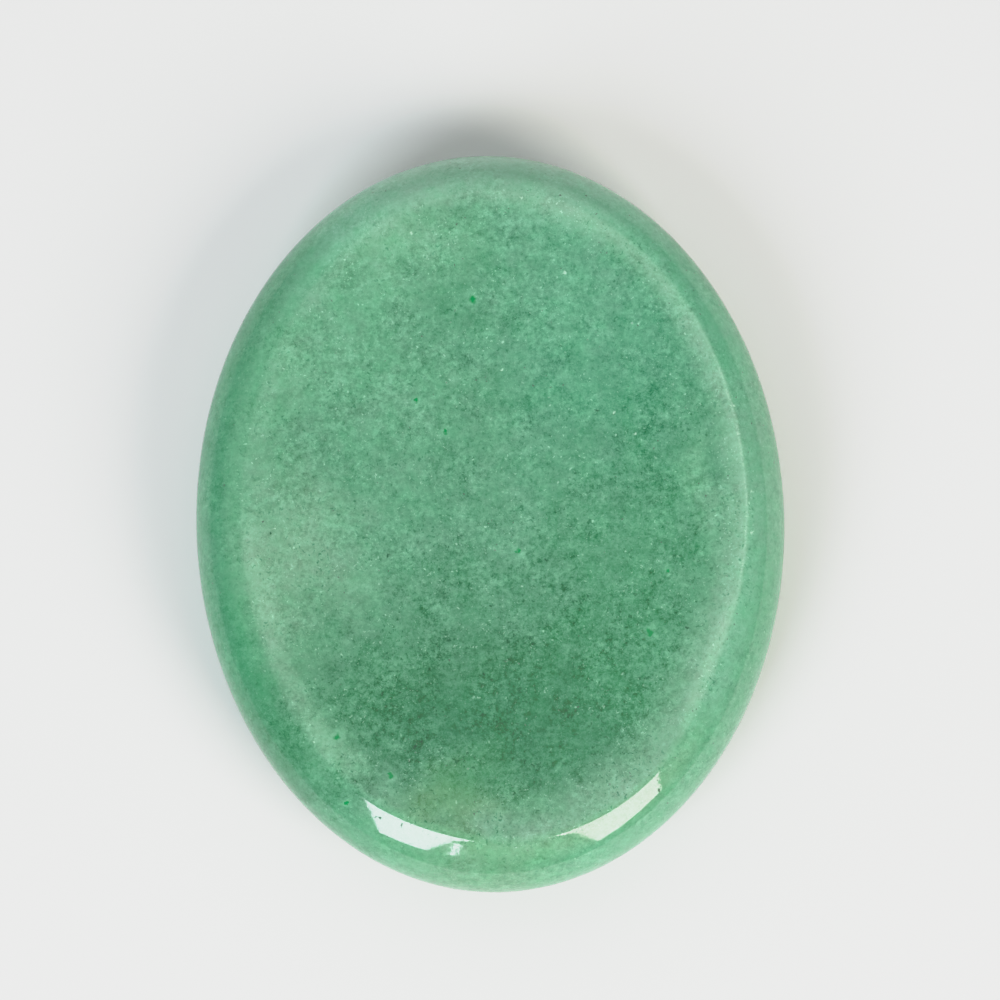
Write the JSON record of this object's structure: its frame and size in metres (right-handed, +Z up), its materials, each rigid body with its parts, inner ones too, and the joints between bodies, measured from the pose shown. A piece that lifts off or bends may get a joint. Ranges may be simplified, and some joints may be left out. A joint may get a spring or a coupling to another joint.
{
  "type": "palm stone",
  "caption": "Oval polished palm stone with a rounded edge, a narrow rim and a shallow thumb hollow, lying on a small flat spot.",
  "frame": {"origin": "on the surface that the stone rests on, under the middle of the stone", "axes": "+Z up out of the thumb hollow, +Y along the stone's length, +X across its width"},
  "size_m": [0.035, 0.044, 0.0078],
  "materials": {
    "aventurine": "polished, fine-grained and slightly translucent"
  },
  "bodies": {
    "root": {"stone": "aventurine"}
  },
  "joints": []
}
